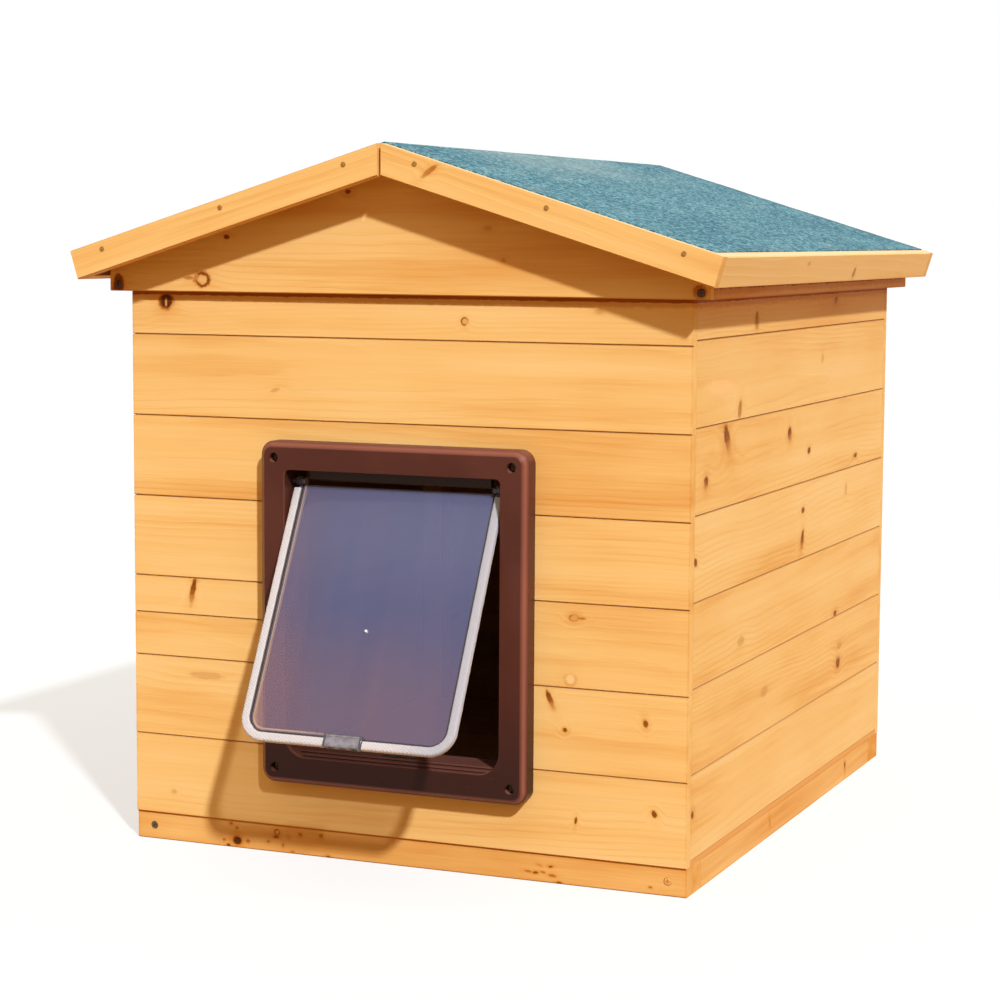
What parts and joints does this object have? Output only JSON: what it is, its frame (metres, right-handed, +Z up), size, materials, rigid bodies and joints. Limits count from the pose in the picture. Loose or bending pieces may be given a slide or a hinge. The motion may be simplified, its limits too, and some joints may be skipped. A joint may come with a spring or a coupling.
{
  "type": "cat kennel",
  "caption": "Timber cat kennel with tongue-and-groove board walls, a lift-off pitched felted roof and a two-way swinging pet door in the front wall.",
  "frame": {"origin": "middle of the base's underside, where the centre joist stands on the floor", "axes": "+X to the right seen from the front, +Y from the front wall to the back wall, +Z up"},
  "size_m": [0.698, 0.9156, 0.7244],
  "materials": {
    "pine_wall": "honey-stained, satin varnish",
    "pine_trim": "honey-stained, satin varnish",
    "pine_base": "honey-stained, sawn",
    "pine_inside": "bare planed softwood",
    "plywood": "bare sheet",
    "felt": "mineral-faced roofing felt",
    "door_brown": "moulded, semi-gloss",
    "flap_smoke": "clear smoked sheet",
    "pile_seal": "woven pile strip",
    "clip_clear": "clear moulding",
    "steel": "dull zinc plate",
    "magnet": "plated"
  },
  "bodies": {
    "kennel_box": {"back_boards": "pine_wall", "base_batten_back": "pine_base", "base_batten_front": "pine_base", "base_batten_left": "pine_base", "base_batten_right": "pine_base", "base_centre_joist": "pine_base", "base_screws": "steel", "corner_posts": "pine_inside", "door_inner_frame": "door_brown", "door_outer_frame": "door_brown", "door_screws": "steel", "floor_sheet": "plywood", "front_board_1": "pine_wall", "front_board_2_left": "pine_wall", "front_board_2_right": "pine_wall", "front_board_3_left_lower": "pine_wall", "front_board_3_left_upper": "pine_wall", "front_board_3_right": "pine_wall", "front_board_4_left": "pine_wall", "front_board_4_right": "pine_wall", "front_board_5": "pine_wall", "front_board_6": "pine_wall", "front_board_7": "pine_wall", "left_board_1": "pine_wall", "left_board_2": "pine_wall", "left_board_3": "pine_wall", "left_board_4": "pine_wall", "left_board_5": "pine_wall", "left_board_6": "pine_wall", "left_board_7": "pine_wall", "right_board_1": "pine_wall", "right_board_2": "pine_wall", "right_board_3": "pine_wall", "right_board_4": "pine_wall", "right_board_5": "pine_wall", "right_board_6": "pine_wall", "right_board_7": "pine_wall", "sill_magnet": "magnet"},
    "roof_lid": {"bargeboard_back_left": "pine_trim", "bargeboard_back_right": "pine_trim", "bargeboard_front_left": "pine_trim", "bargeboard_front_right": "pine_trim", "bargeboard_nails": "steel", "eave_fascia_left": "pine_trim", "eave_fascia_right": "pine_trim", "gable_back": "pine_trim", "gable_front": "pine_trim", "gable_screws": "steel", "ridge_batten": "pine_inside", "rim_batten_left": "pine_trim", "rim_batten_right": "pine_trim", "roof_deck_left": "pine_inside", "roof_deck_right": "pine_inside", "roof_felt": "felt"},
    "flap": {"flap_clip": "clip_clear", "flap_magnets": "magnet", "flap_panel": "flap_smoke", "flap_seal": "pile_seal"}
  },
  "joints": [
    {"name": "lid_lift", "type": "slide", "parent": "kennel_box", "child": "roof_lid", "axis": [0, 0, 1], "range_m": [0, 0.25]},
    {"name": "flap_swing", "type": "hinge", "parent": "kennel_box", "child": "flap", "pos_m": [0, -0.368, 0.3872], "axis": [1, 0, 0], "range_deg": [-52.4, 107.6]}
  ]
}
